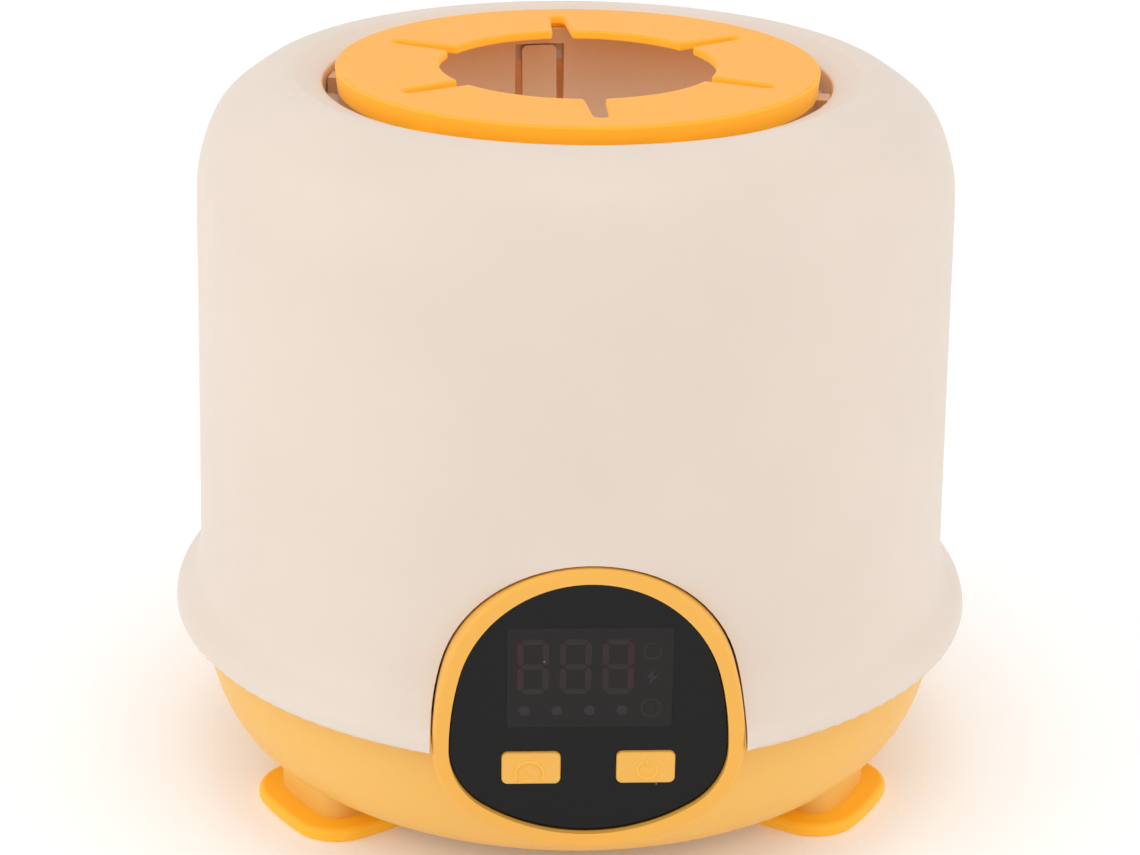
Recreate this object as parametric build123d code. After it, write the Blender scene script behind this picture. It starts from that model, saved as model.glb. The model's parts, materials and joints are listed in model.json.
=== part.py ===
"""Cordless bottle warmer: a bell-shaped housing over a bowl-shaped base, with a silicone bottle ring on top.

Millimetres, +Z up. The origin is on the floor, on the axis of the warming chamber, and the control panel
faces -Y. Radii and heights are measured from that axis and from the floor.
"""

import math
import os

from build123d import *

# ---- driving dimensions -------------------------------------------------------------------------------

# Overall height. The overall width follows from the well, the insulation, the cells and the walls.
HEIGHT = 139.0                  # floor to the top of the silicone ring

# Housing
HOUSING_WALL = 2.4
SKIRT_FLARE = 5.15              # skirt's edge outside the waist
SKIRT_EDGE_Z = 33.2             # height of that edge
SKIRT_EDGE_FILLET = 0.8
FLARE_HEIGHT = 14.8             # waist above the skirt's edge
HOUSING_TAPER = 1.3             # radius lost from the waist to the shoulder
SHOULDER_DROP = 32.0            # where the shoulder starts, below the top of the ring
CREST_DROP = 0.9                # highest circle of the housing, below the top of the ring
LIP_WIDTH = 7.7                 # crest outside the mouth
LIP_DEPTH = 2.6
MOUTH_GAP = 2.3                 # mouth round the silicone ring
LEDGE = 2.0                     # housing ledge that carries the liner

# Silicone ring
RING_RIM = 4.0                  # width of the deep rim
RING_DRAFT = 0.4                # radius lost from top to bottom
RING_RIM_HEIGHT = 4.3
RING_WEB = 1.7                  # thickness of the petals
RING_POCKET_GAP = 1.0           # recess outside the liner
RING_HOLE_RADIUS = 25.8
RING_EDGE_FILLET = 0.5
PETAL_CORNER = 0.7
SLIT_COUNT = 6
SLIT_TURN = 0.0                 # degrees, from +Y, of the first slit's straight edge
SLIT_STRAIGHT_X = -3.7
SLIT_MOUTH_X = 0.6
SLIT_TIP_X = -0.9
SLIT_TIP_INSET = 2.4            # slit tips inside the recess

# Gaps
SEAT_GAP = 0.05                 # between parts that rest on one another
FIT_GAP = 0.4                   # loose assembly gap
THREAD_GAP = 0.03               # screw in its hole

# Liner
LINER_RADIUS = 38.0             # inside
LINER_WALL = 2.0
LINER_FLANGE_INSET = 0.6        # flange inside the ring's edge
LINER_FLANGE = 3.0
LINER_UPSTAND_GAP = 0.7         # upstand below the petals
LINER_LUG_WIDTH = 5.0
LINER_LUG_COUNT = 6
LUG_TURN = -10.0                # degrees, azimuth of the first lug
LINER_FOOT = 7.1                # solid band below the windows

# Centring fingers
FINGER_COUNT = 3
FINGER_AZIMUTH = 98.7           # degrees from +X of the first finger
FINGER_WIDTH = 6.9
FINGER_THICKNESS = 1.5
FINGER_LEAN = 5.0               # degrees, lower end towards the axis
FINGER_TOP_DROP = 5.4           # window top below the top of the ring
FINGER_SIDE_GAP = 1.5
FINGER_WINDOW_HEIGHT = 46.0
FINGER_FOOT_GAP = 2.5
FINGER_CORNER = 1.2

# Heating cup and its parts
CUP_STEP = 1.5                  # cup inside the liner's bore
CUP_WALL = 1.5
CUP_FLOOR_Z = 36.0              # where the bottle stands
CUP_FLOOR = 2.0
CUP_FLANGE_WIDTH = 1.5          # flange outside the liner
SEAL = 1.0
HEATER = 0.5
HEATER_GAP = 0.05
HEATER_INSET = 2.0              # film above the cup's floor
HEATER_TOP_GAP = 7.5            # film below the cup's rim
HEATER_SPLIT = 3.0
SLEEVE_GAP = 0.2
INSULATION = 4.8
INSULATION_PAD = 4.0
CRADLE_FLOOR = 2.0
CRADLE_WALL = 1.7
CRADLE_RIM = 8.0
CRADLE_POST_RADIUS = 3.6
CRADLE_POST_INSET = 1.05        # posts inside the cradle's edge
SENSOR_RADIUS = 2.6
SENSOR_HEAD = 3.0
FUSE_RADIUS = 1.5
FUSE_LENGTH = 9.0
FUSE_OFFSET = 14.0

# Base bowl
BOWL_INSET = 0.7                # bowl inside the waist
BOWL_OVERLAP = 5.3              # bowl's rim above the skirt's edge
BOWL_BAND = 11.5                # upright part of the bowl's side, below its rim
BOWL_LIFT = 0.4                 # bowl's floor above the pads
BOWL_WALL = 2.6
SPIGOT_GAP = 0.4                # bowl spigot inside the housing
SPIGOT_WALL = 2.0
SPIGOT_RISE = 2.0               # spigot above the waist
SPIGOT_OVERLAP = 3.0            # spigot below the bowl's rim

# Feet
FOOT_AZIMUTH = 32.0             # degrees off the X axis
FOOT_SETBACK = 4.8              # pad's outer edge inside the bowl's side
FOOT_WIDTH = 30.5
FOOT_LENGTH = 25.0
FOOT_CORNER = 9.5
FOOT_PAD = 2.6
FOOT_PAD_EDGE = 1.1
FOOT_INSET = 4.7                # leg inside the pad
FOOT_PLUG = 1.6                 # pad's plug up into the leg
FOOT_PLUG_INSET = 2.4
PLUG_GAP = 0.1

# Control panel, seen from the front
PANEL_INSET = 0.1               # bezel's front inside the waist
PANEL_Z = 33.9                  # height of the lens's widest line
LENS_HALF_WIDTH = 24.5
LENS_CROWN_INSET = 1.1          # crown's radius below the half width
LENS_CROWN_RISE = 8.4           # crown's centre above the widest line
LENS_BASE_EXTRA = 9.5           # base's radius above the half width
LENS_DEPTH = 16.6               # lowest point below the widest line
LENS_THICKNESS = 2.0
LENS_EDGE = 0.25
LENS_RECESS = 1.1
LENS_GAP = 0.1
BEZEL_BAND = 3.0
BEZEL_TAIL = 1.8                # bezel behind the panel board
BEZEL_EDGE = 1.0
BEZEL_SHELF = 1.5
BEZEL_SHELF_WIDTH = 1.6
BEZEL_FLANGE = 1.5
BEZEL_FLANGE_WIDTH = 3.0
BEZEL_GAP = 0.15
PANEL_CUT = 20.0                # how far the panel's cut-outs run before and behind its front
ARCH_GAP = 0.4                  # housing arch around the bezel

# Buttons
BUTTON_WIDTH = 10.4
BUTTON_HEIGHT = 6.1
BUTTON_CORNER = 1.1
BUTTON_EDGE = 0.45
BUTTON_SPREAD = 10.1            # centre, off the panel's middle
BUTTON_DROP = 3.75              # centre, below the lens's widest line
BUTTON_PROUD = 0.8
BUTTON_TRAVEL = 0.6
BUTTON_GAP = 0.15
BUTTON_FLANGE = 1.0
BUTTON_FLANGE_WIDTH = 0.9
STEM_RADIUS = 1.6
PLUNGER_RADIUS = 1.75
PLUNGER_GAP = 0.05
PLUNGER_LENGTH = 1.6
PLUNGER_ROOM = 0.3              # behind a pressed plunger
SWITCH_SIZE = 6.0
SWITCH_THICKNESS = 3.5

# Display
DISPLAY_WIDTH = 29.0
DISPLAY_HEIGHT = 19.1
DISPLAY_RISE = 13.6             # middle, above the lens's widest line
DISPLAY_THICKNESS = 5.8
DISPLAY_GAP = 1.7               # behind the lens
DISPLAY_CORNER = 0.6
DIGIT_COUNT = 3
DIGIT_WIDTH = 5.5
DIGIT_HEIGHT = 10.6
DIGIT_PITCH = 7.4
DIGIT_LEFT = -9.9               # first digit, from the display's middle
DIGIT_RISE = 2.2
SEGMENT_WIDTH = 1.1
SEGMENT_THICKNESS = 0.2
SEGMENT_GAP = 0.15
DOT_COUNT = 4
DOT_RADIUS = 0.95
DOT_PITCH = 5.7
DOT_LEFT = -11.4                # first dot, from the display's middle
DOT_DROP = 6.3

# Panel board
BOARD = 1.6
PANEL_BOSS_RADIUS = 2.2
PANEL_SCREW_RISE = 11.1         # side screws above the lens's widest line
PANEL_SCREW_INSET = 3.1         # top and bottom screws inside the lens's outline
PANEL_SCREW_SIDE_INSET = 3.9

# Screws
SMALL_SCREW_RADIUS = 0.95
SMALL_HEAD_RADIUS = 1.9
SMALL_HEAD = 1.3
SMALL_SCREW_LENGTH = 5.0
BIG_SCREW_RADIUS = 1.5
BIG_HEAD_RADIUS = 2.8
BIG_HEAD = 2.2
BIG_SCREW_LENGTH = 16.0
SCREW_HOLE_GAP = 0.2            # shank through a part that it clamps
FOOT_SCREW_INSET = 10.5         # housing's screws inside the pads' outer edge
SCREW_BOSS_RADIUS = 5.0
SCREW_SEAT = 5.5
COLUMN_RADIUS = 4.0
COLUMN_HEIGHT = 19.0
COLUMN_DROP = 0.4               # foot of the housing's columns below the waist
RIB = 2.0

# Main board, in the bowl
BOARD_POST_GAP = 2.4            # board's edge to the cradle's posts
MAIN_BOARD_LIFT = 7.4           # above the bowl's inside
STANDOFF_RADIUS = 2.8
STANDOFF_INSET = 6.0            # standoffs inside the board's edge
BUZZER_RADIUS = 6.0
BUZZER_HEIGHT = 5.5
BUZZER_HOLE = 1.0
BUZZER_INSET = 13.0             # buzzer's middle inside the board's edge

# Battery cells
CELL_RADIUS = 9.2
CELL_LENGTH = 65.2
CELL_TERMINAL = 1.0
CELL_TERMINAL_RADIUS = 3.0
CELL_EDGE = 0.6
CELL_SPACE = 0.8                # between the two cells of a bank
CELL_BANKS = {"left": 180.0, "right": 0.0, "rear": 90.0}
HOLDER_LIFT = 2.6               # above the charging port
HOLDER_FLOOR = 2.0
HOLDER_HEIGHT = 12.0
HOLDER_WALL = 1.0
HOLDER_GAP = 0.15
HOLDER_INNER_ROOM = 0.6         # holder to the cradle
HOLDER_OUTER_ROOM = 0.75        # holder to the spigot
CELL_POST_RADIUS = 2.8
CELL_POST_GAP = 0.8             # rear posts to the charging port's board

# Charging port, at the back
PORT_Z = 19.8
PORT_WIDTH = 8.9
PORT_HEIGHT = 3.2
PORT_LENGTH = 7.4
PORT_WALL = 0.3
PORT_SETBACK = 2.2              # shell's mouth inside the bowl's side
PORT_GAP = 0.3
PORT_TONGUE = 0.7
PORT_TONGUE_WIDTH = 6.7
PORT_BOARD_THICKNESS = 1.2
PORT_BOARD_SETBACK = 1.0
PORT_BOARD_WIDTH = 12.0
PORT_BOARD_LENGTH = 11.0
PORT_POST_INSET = 2.5
PORT_POST_RADIUS = 2.0

# Display ribbon
RIBBON = 0.4
RIBBON_HALF_WIDTH = 5.0
RIBBON_DROP = 6.9               # upper end below the lens's widest line
RIBBON_REACH = 6.0              # lower end inside the main board's edge

# ---- sizes that follow --------------------------------------------------------------------------------

# Radii, from the well outwards
LINER_OUTER = LINER_RADIUS + LINER_WALL
CUP_RADIUS = LINER_RADIUS - CUP_STEP
CUP_OUTER = CUP_RADIUS + CUP_WALL
CUP_FLANGE_RADIUS = LINER_OUTER + CUP_FLANGE_WIDTH
RING_POCKET_RADIUS = LINER_OUTER + RING_POCKET_GAP
SLIT_TIP_RADIUS = RING_POCKET_RADIUS - SLIT_TIP_INSET
RING_RADIUS = RING_POCKET_RADIUS + RING_RIM
LINER_FLANGE_RADIUS = RING_RADIUS - LINER_FLANGE_INSET
LINER_SCREW_CIRCLE = (LINER_OUTER + LINER_FLANGE_RADIUS) / 2
MOUTH_RADIUS = RING_RADIUS + MOUTH_GAP
CREST_RADIUS = MOUTH_RADIUS + LIP_WIDTH
SLEEVE_INNER = CUP_OUTER + HEATER_GAP + HEATER + SLEEVE_GAP
SLEEVE_OUTER = SLEEVE_INNER + INSULATION
CRADLE_OUTER = SLEEVE_OUTER + FIT_GAP + CRADLE_WALL
CRADLE_POST_CIRCLE = CRADLE_OUTER - CRADLE_POST_RADIUS - CRADLE_POST_INSET
MAIN_BOARD_RADIUS = CRADLE_POST_CIRCLE - CRADLE_POST_RADIUS - BOARD_POST_GAP
STANDOFF_CIRCLE = MAIN_BOARD_RADIUS - STANDOFF_INSET
HOLDER_OUTER = CELL_RADIUS + HOLDER_GAP + HOLDER_WALL
CELL_CIRCLE = CRADLE_OUTER + HOLDER_INNER_ROOM + HOLDER_OUTER
CELL_PITCH = 2 * CELL_RADIUS + CELL_SPACE
CELL_POST_OFFSET = PORT_BOARD_WIDTH / 2 + CELL_POST_GAP + CELL_POST_RADIUS
SPIGOT_INNER = CELL_CIRCLE + HOLDER_OUTER + HOLDER_OUTER_ROOM
SPIGOT_OUTER = SPIGOT_INNER + SPIGOT_WALL
WAIST_RADIUS = SPIGOT_OUTER + SPIGOT_GAP + HOUSING_WALL
SHOULDER_RADIUS = WAIST_RADIUS - HOUSING_TAPER
SKIRT_RADIUS = WAIST_RADIUS + SKIRT_FLARE
BOWL_RADIUS = WAIST_RADIUS - BOWL_INSET
BOWL_FLOOR_RADIUS = CRADLE_POST_CIRCLE + CRADLE_POST_RADIUS
FOOT_RADIUS = BOWL_RADIUS - FOOT_SETBACK
HOUSING_SCREW_CIRCLE = FOOT_RADIUS - FOOT_SCREW_INSET
PORT_MOUTH = BOWL_RADIUS - PORT_SETBACK
PORT_BOARD_END = BOWL_RADIUS - 2 * BOWL_WALL - PORT_BOARD_SETBACK
PANEL_FRONT = WAIST_RADIUS - PANEL_INSET        # distance from the chamber's axis to the bezel's front

# Heights, from the floor up
LEG_Z = FOOT_PAD
BOWL_FLOOR_Z = FOOT_PAD + BOWL_LIFT
BOWL_INSIDE_Z = BOWL_FLOOR_Z + BOWL_WALL
MAIN_BOARD_Z = BOWL_INSIDE_Z + MAIN_BOARD_LIFT
MAIN_BOARD_TOP_Z = MAIN_BOARD_Z + BOARD
BOWL_TOP_Z = SKIRT_EDGE_Z + BOWL_OVERLAP
SKIRT_ROUND_Z = SKIRT_EDGE_Z + SKIRT_EDGE_FILLET
WAIST_Z = SKIRT_EDGE_Z + FLARE_HEIGHT
SPIGOT_TOP_Z = WAIST_Z + SPIGOT_RISE
COLUMN_Z = WAIST_Z - COLUMN_DROP
PORT_UNDER_Z = PORT_Z - PORT_HEIGHT / 2
HOLDER_Z = PORT_Z + PORT_HEIGHT / 2 + HOLDER_LIFT
CELL_Z = HOLDER_Z + HOLDER_FLOOR + SEAT_GAP
CUP_UNDER_Z = CUP_FLOOR_Z - CUP_FLOOR
CRADLE_INSIDE_Z = CUP_UNDER_Z - INSULATION_PAD
CRADLE_FLOOR_Z = CRADLE_INSIDE_Z - CRADLE_FLOOR

# Heights, from the top down
CREST_Z = HEIGHT - CREST_DROP
SHOULDER_Z = HEIGHT - SHOULDER_DROP
RING_BOTTOM_Z = HEIGHT - RING_RIM_HEIGHT
WEB_Z = HEIGHT - RING_WEB
UPSTAND_Z = WEB_Z - LINER_UPSTAND_GAP
FLANGE_TOP_Z = RING_BOTTOM_Z - SEAT_GAP
LEDGE_Z = FLANGE_TOP_Z - LINER_FLANGE
LINER_SCREW_SEAT_Z = FLANGE_TOP_Z - SMALL_HEAD - SCREW_HOLE_GAP
FINGER_TOP_Z = HEIGHT - FINGER_TOP_DROP
LINER_BOTTOM_Z = FINGER_TOP_Z - FINGER_WINDOW_HEIGHT - LINER_FOOT
CUP_TOP_Z = LINER_BOTTOM_Z - SEAL

# The panel's outline and heights
LENS_CROWN = LENS_HALF_WIDTH - LENS_CROWN_INSET
LENS_BASE = LENS_HALF_WIDTH + LENS_BASE_EXTRA
LENS_TOP_Z = PANEL_Z + LENS_CROWN_RISE + LENS_CROWN
LENS_BOTTOM_Z = PANEL_Z - LENS_DEPTH
BUTTON_Z = PANEL_Z - BUTTON_DROP
DISPLAY_Z = PANEL_Z + DISPLAY_RISE

# Depths behind the bezel's front
LENS_BACK = LENS_RECESS + LENS_THICKNESS
SHELF_BACK = LENS_BACK + BEZEL_SHELF
DISPLAY_FACE = LENS_BACK + DISPLAY_GAP + SEGMENT_THICKNESS
BOARD_FRONT = DISPLAY_FACE + DISPLAY_THICKNESS
BOARD_BACK = BOARD_FRONT + BOARD
BEZEL_DEPTH = BOARD_BACK + BEZEL_TAIL
FLANGE_ROOM = BEZEL_DEPTH - BEZEL_FLANGE - BEZEL_GAP
BUTTON_FRONT = LENS_RECESS - BUTTON_PROUD
BUTTON_BACK = LENS_BACK + SEAT_GAP + BUTTON_FLANGE
SWITCH_FRONT = BOARD_FRONT - SWITCH_THICKNESS
STEM_BACK = SWITCH_FRONT - (PLUNGER_LENGTH - BUTTON_TRAVEL)

PANEL_SCREWS = [
    (PANEL_SCREW_SIDE_INSET - LENS_HALF_WIDTH, PANEL_Z + PANEL_SCREW_RISE),
    (LENS_HALF_WIDTH - PANEL_SCREW_SIDE_INSET, PANEL_Z + PANEL_SCREW_RISE),
    (0.0, LENS_TOP_Z - PANEL_SCREW_INSET),
    (0.0, LENS_BOTTOM_Z + PANEL_SCREW_INSET),
]
FOOT_ANGLES = [FOOT_AZIMUTH, 180 - FOOT_AZIMUTH, 180 + FOOT_AZIMUTH, 360 - FOOT_AZIMUTH]
FOOT_NAMES = ["rear_right", "rear_left", "front_left", "front_right"]

# ---- helpers ------------------------------------------------------------------------------------------


def save(shape, node):
    """Write one node."""
    export_step(shape, f"parts/{node}.step")


def group(solids):
    """Several solids in one node."""
    return Compound(children=list(solids))


def polar(radius, degrees, z=0.0):
    """A point at a radius and azimuth."""
    angle = math.radians(degrees)
    return (radius * math.cos(angle), radius * math.sin(angle), z)


def turned(degrees):
    """A turn about the chamber's axis."""
    return Rot(0, 0, degrees)


def disc(radius, low, high, inner=0.0, at=(0.0, 0.0)):
    """A round bar or tube along Z, from one height to another."""
    bar = Pos(at[0], at[1], low) * extrude(Circle(radius), high - low)
    if inner:
        bar -= Pos(at[0], at[1], low) * extrude(Circle(inner), high - low)
    return bar


def block(x, y, z):
    """A box between three pairs of limits."""
    centre = Pos((x[0] + x[1]) / 2, (y[0] + y[1]) / 2, (z[0] + z[1]) / 2)
    return centre * Box(x[1] - x[0], y[1] - y[0], z[1] - z[0])


def spun(edges):
    """Revolve a closed outline, drawn as radius and height."""
    return revolve(Plane.XZ * make_face(edges), Axis.Z)


def parallel(curve, distance, steps=6):
    """A smooth curve at a distance on the inner side of another."""
    points = []
    for step in range(steps + 1):
        place = curve @ (step / steps)
        along = curve % (step / steps)
        points.append((place.X + distance * along.Y, place.Y - distance * along.X))
    start, end = curve % 0, curve % 1
    return Spline(*points, tangents=[(start.X, start.Y), (end.X, end.Y)])


def panel_plane(depth):
    """The plane at a depth behind the bezel's front, with x to the right and y up."""
    return Plane((0, depth - PANEL_FRONT, 0), x_dir=(1, 0, 0), z_dir=(0, -1, 0))


def panel_slab(sketch, front, back):
    """Extrude a panel sketch between two depths."""
    return extrude(panel_plane(back) * sketch, back - front)


def arc(centre, radius, start, end):
    """An arc from one angle to another, in degrees."""
    points = []
    for degrees in (start, (start + end) / 2, end):
        angle = math.radians(degrees)
        points.append((centre[0] + radius * math.cos(angle), centre[1] + radius * math.sin(angle)))
    return ThreePointArc(*points)


def lens_outline(grow=0.0):
    """The panel's D shape: a round crown, long flanks, round lower corners and a shallow base."""
    half_width = LENS_HALF_WIDTH + grow
    crown = LENS_CROWN + grow
    base = LENS_BASE + grow
    crown_z = PANEL_Z + LENS_CROWN_RISE
    base_z = LENS_BOTTOM_Z + LENS_BASE
    rise = crown_z - PANEL_Z
    drop = base_z - PANEL_Z
    flank = (half_width ** 2 + rise ** 2 - crown ** 2) / (2 * (half_width - crown))
    corner = (base ** 2 - half_width ** 2 - drop ** 2) / (2 * (base - half_width))
    flank_turn = math.degrees(math.atan2(rise, flank - half_width))
    corner_turn = math.degrees(math.atan2(drop, half_width - corner))
    edges = [
        arc((0, crown_z), crown, 180 - flank_turn, flank_turn),
        arc((half_width - flank, PANEL_Z), flank, flank_turn, 0),
        arc((half_width - corner, PANEL_Z), corner, 0, -corner_turn),
        arc((0, base_z), base, -corner_turn, corner_turn - 180),
        arc((corner - half_width, PANEL_Z), corner, 180 + corner_turn, 180),
        arc((flank - half_width, PANEL_Z), flank, 180, 180 - flank_turn),
    ]
    return make_face(edges)


def foot_outline(inset=0.0):
    """A foot seen from above, pointing along +X: an arc outside, rounded corners, inset all round."""
    half = FOOT_WIDTH / 2 - inset
    outer = FOOT_RADIUS - inset
    inner = FOOT_RADIUS - FOOT_LENGTH + inset
    side = math.sqrt(outer ** 2 - half ** 2)
    edges = [
        Line((inner, -half), (side, -half)),
        ThreePointArc((side, -half), (outer, 0), (side, half)),
        Line((side, half), (inner, half)),
        Line((inner, half), (inner, -half)),
    ]
    return fillet(make_face(edges).vertices(), FOOT_CORNER - inset)


def screw(radius, length, head_radius, head):
    """A pan-head screw: the head's underside at the origin, the shank up along +Z."""
    shank = disc(radius, 0, length)
    cap = disc(head_radius, -head, 0)
    cap = fillet(cap.edges().sort_by(Axis.Z)[0], head * 0.4)
    slot = head_radius * 0.62
    cross = block((-slot, slot), (-head * 0.15, head * 0.15), (-head, -head * 0.5))
    return shank + cap - cross - Rot(0, 0, 90) * cross


# ---- outlines of the two shells -----------------------------------------------------------------------

shoulder = Spline(
    (CREST_RADIUS, CREST_Z),
    (CREST_RADIUS + 6.6, CREST_Z - 2.75),
    (CREST_RADIUS + 10.65, CREST_Z - 5.95),
    (SHOULDER_RADIUS - 1.6, SHOULDER_Z + 17.4),
    (SHOULDER_RADIUS, SHOULDER_Z),
    tangents=[(1, 0), (0.025, -1)],
)
flare = Spline(
    (WAIST_RADIUS, WAIST_Z),
    ((WAIST_RADIUS + SKIRT_RADIUS) / 2 - 0.6, (WAIST_Z + SKIRT_EDGE_Z) / 2 - 0.8),
    (SKIRT_RADIUS, SKIRT_ROUND_Z),
    tangents=[(0.02, -1), (0, -1)],
)
side_line = Line((SHOULDER_RADIUS, SHOULDER_Z), (WAIST_RADIUS, WAIST_Z))
bowl_side = Spline(
    (BOWL_RADIUS, BOWL_TOP_Z - BOWL_BAND),
    (BOWL_RADIUS - 1.5, BOWL_TOP_Z - 20.0),
    (BOWL_RADIUS - 6.5, BOWL_FLOOR_Z + 7.3),
    (BOWL_RADIUS - 16.2, BOWL_FLOOR_Z + 1.6),
    (BOWL_FLOOR_RADIUS, BOWL_FLOOR_Z),
    tangents=[(0, -1), (-1, 0)],
)


def bowl_cavity():
    """The space inside the bowl, up past its rim."""
    inside = parallel(bowl_side, BOWL_WALL)
    top, low = inside @ 0, inside @ 1
    above = WAIST_Z + SPIGOT_TOP_Z
    return spun([
        Line((0, low.Y), (low.X, low.Y)),
        inside,
        Line((top.X, top.Y), (top.X, above)),
        Line((top.X, above), (0, above)),
        Line((0, above), (0, low.Y)),
    ])


# ---- casings ------------------------------------------------------------------------------------------


def housing_shell():
    """The bell: a rounded shoulder, a turned-in mouth with the liner's ledge, and a flared skirt."""
    inner_shoulder = parallel(shoulder, HOUSING_WALL)
    inner_flare = parallel(flare, HOUSING_WALL)
    crest = inner_shoulder @ 0
    collar = MOUTH_RADIUS + HOUSING_WALL
    ledge_inner = LINER_OUTER + 3 * FIT_GAP
    low = LEDGE_Z - LEDGE
    lip = Spline(
        (MOUTH_RADIUS, CREST_Z - LIP_DEPTH),
        (MOUTH_RADIUS + 0.7, CREST_Z - 1.85),
        (MOUTH_RADIUS + 4.2, CREST_Z - 0.8),
        (CREST_RADIUS, CREST_Z),
        tangents=[(0, 1), (1, 0)],
    )
    edge = inner_flare @ 1
    outer_round, inner_round = SKIRT_RADIUS - SKIRT_EDGE_FILLET, edge.X + SKIRT_EDGE_FILLET
    outline = [
        lip,
        shoulder,
        side_line,
        flare,
        RadiusArc((SKIRT_RADIUS, SKIRT_ROUND_Z), (outer_round, SKIRT_EDGE_Z), SKIRT_EDGE_FILLET),
        Line((outer_round, SKIRT_EDGE_Z), (inner_round, SKIRT_EDGE_Z)),
        RadiusArc((inner_round, SKIRT_EDGE_Z), (edge.X, edge.Y), SKIRT_EDGE_FILLET),
        inner_flare,
        Line(inner_shoulder @ 1, inner_flare @ 0),
        inner_shoulder,
        Line((crest.X, crest.Y), (collar, crest.Y - 1.4)),
        Line((collar, crest.Y - 1.4), (collar, low)),
        Line((collar, low), (ledge_inner, low)),
        Line((ledge_inner, low), (ledge_inner, LEDGE_Z)),
        Line((ledge_inner, LEDGE_Z), (MOUTH_RADIUS, LEDGE_Z)),
        Line((MOUTH_RADIUS, LEDGE_Z), (MOUTH_RADIUS, CREST_Z - LIP_DEPTH)),
    ]
    shell = spun(outline)
    column_top = COLUMN_Z + COLUMN_HEIGHT
    column = disc(COLUMN_RADIUS, COLUMN_Z, column_top, at=(HOUSING_SCREW_CIRCLE, 0))
    rib_end = WAIST_RADIUS - HOUSING_WALL + 1
    rib = block((HOUSING_SCREW_CIRCLE, rib_end), (-RIB / 2, RIB / 2), (SPIGOT_TOP_Z + 1, column_top))
    hole = disc(BIG_SCREW_RADIUS + THREAD_GAP, COLUMN_Z, column_top - 3, at=(HOUSING_SCREW_CIRCLE, 0))
    for angle in FOOT_ANGLES:
        shell += turned(angle) * (column + rib)
        shell -= turned(angle) * hole
    arch = lens_outline(BEZEL_BAND + ARCH_GAP)
    shell -= panel_slab(arch, -PANEL_CUT, PANEL_CUT)
    arch_half = LENS_HALF_WIDTH + BEZEL_BAND + ARCH_GAP
    return shell - block((-arch_half, arch_half), (-SKIRT_RADIUS - 5, PANEL_CUT - PANEL_FRONT), (0, PANEL_Z))


def base_bowl():
    """The bowl: legs, spigot, screw bosses, standoffs, and openings for the panel and the port."""
    outer = spun([
        Line((0, BOWL_FLOOR_Z), (BOWL_FLOOR_RADIUS, BOWL_FLOOR_Z)),
        bowl_side,
        Line((BOWL_RADIUS, BOWL_TOP_Z - BOWL_BAND), (BOWL_RADIUS, BOWL_TOP_Z)),
        Line((BOWL_RADIUS, BOWL_TOP_Z), (0, BOWL_TOP_Z)),
        Line((0, BOWL_TOP_Z), (0, BOWL_FLOOR_Z)),
    ])
    cavity = bowl_cavity()
    leg = Pos(0, 0, LEG_Z) * extrude(foot_outline(FOOT_INSET), BOWL_TOP_Z / 2)
    bowl = outer
    for angle in FOOT_ANGLES:
        bowl += turned(angle) * leg
    bowl -= cavity
    bowl += disc(SPIGOT_OUTER, BOWL_TOP_Z - SPIGOT_OVERLAP, SPIGOT_TOP_Z, inner=SPIGOT_INNER)
    bowl -= panel_slab(lens_outline(BEZEL_BAND + BEZEL_GAP), -PANEL_CUT, PANEL_CUT)
    bowl -= panel_slab(lens_outline(BEZEL_BAND + BEZEL_FLANGE_WIDTH + BEZEL_GAP), FLANGE_ROOM, PANEL_CUT)
    boss = disc(SCREW_BOSS_RADIUS, BOWL_INSIDE_Z - 1, COLUMN_Z, at=(HOUSING_SCREW_CIRCLE, 0))
    seat_z = COLUMN_Z - SCREW_SEAT
    well = disc(BIG_HEAD_RADIUS + FIT_GAP, 0, seat_z, at=(HOUSING_SCREW_CIRCLE, 0))
    bore = disc(BIG_SCREW_RADIUS + SCREW_HOLE_GAP, 0, COLUMN_Z + 1, at=(HOUSING_SCREW_CIRCLE, 0))
    plug = extrude(foot_outline(FOOT_INSET + FOOT_PLUG_INSET), LEG_Z + FOOT_PLUG + SEAT_GAP)
    for angle in FOOT_ANGLES:
        bowl += turned(angle) * boss
        bowl -= turned(angle) * (well + bore + plug)
    for quarter in range(4):
        at = standoff(quarter)
        bowl += disc(STANDOFF_RADIUS, BOWL_INSIDE_Z - 1, MAIN_BOARD_Z, at=at)
        bowl -= disc(SMALL_SCREW_RADIUS + THREAD_GAP, BOWL_INSIDE_Z, MAIN_BOARD_Z, at=at)
    for bank in CELL_BANKS.values():
        for at in bank_pair(bank, CELL_POST_OFFSET):
            bowl += disc(CELL_POST_RADIUS, BOWL_INSIDE_Z + 1, HOLDER_Z, at=at) - outer_skin_below()
    for side in (-1, 1):
        y = PORT_BOARD_END - PORT_BOARD_LENGTH + PORT_POST_INSET
        at = (side * (PORT_BOARD_WIDTH / 2 - PORT_POST_INSET), y)
        low, high = BOWL_INSIDE_Z + 1, PORT_UNDER_Z - PORT_BOARD_THICKNESS
        bowl += disc(PORT_POST_RADIUS, low, high, at=at) - outer_skin_below()
    return bowl - port_opening()


def outer_skin_below():
    """Everything under the middle of the bowl's wall, to trim posts that start inside it."""
    middle = parallel(bowl_side, BOWL_WALL / 2)
    top, low = middle @ 0, middle @ 1
    return spun([
        Line((0, low.Y), (low.X, low.Y)),
        middle,
        Line((top.X, top.Y), (top.X + 20, top.Y)),
        Line((top.X + 20, top.Y), (top.X + 20, -10)),
        Line((top.X + 20, -10), (0, -10)),
        Line((0, -10), (0, low.Y)),
    ])


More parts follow.
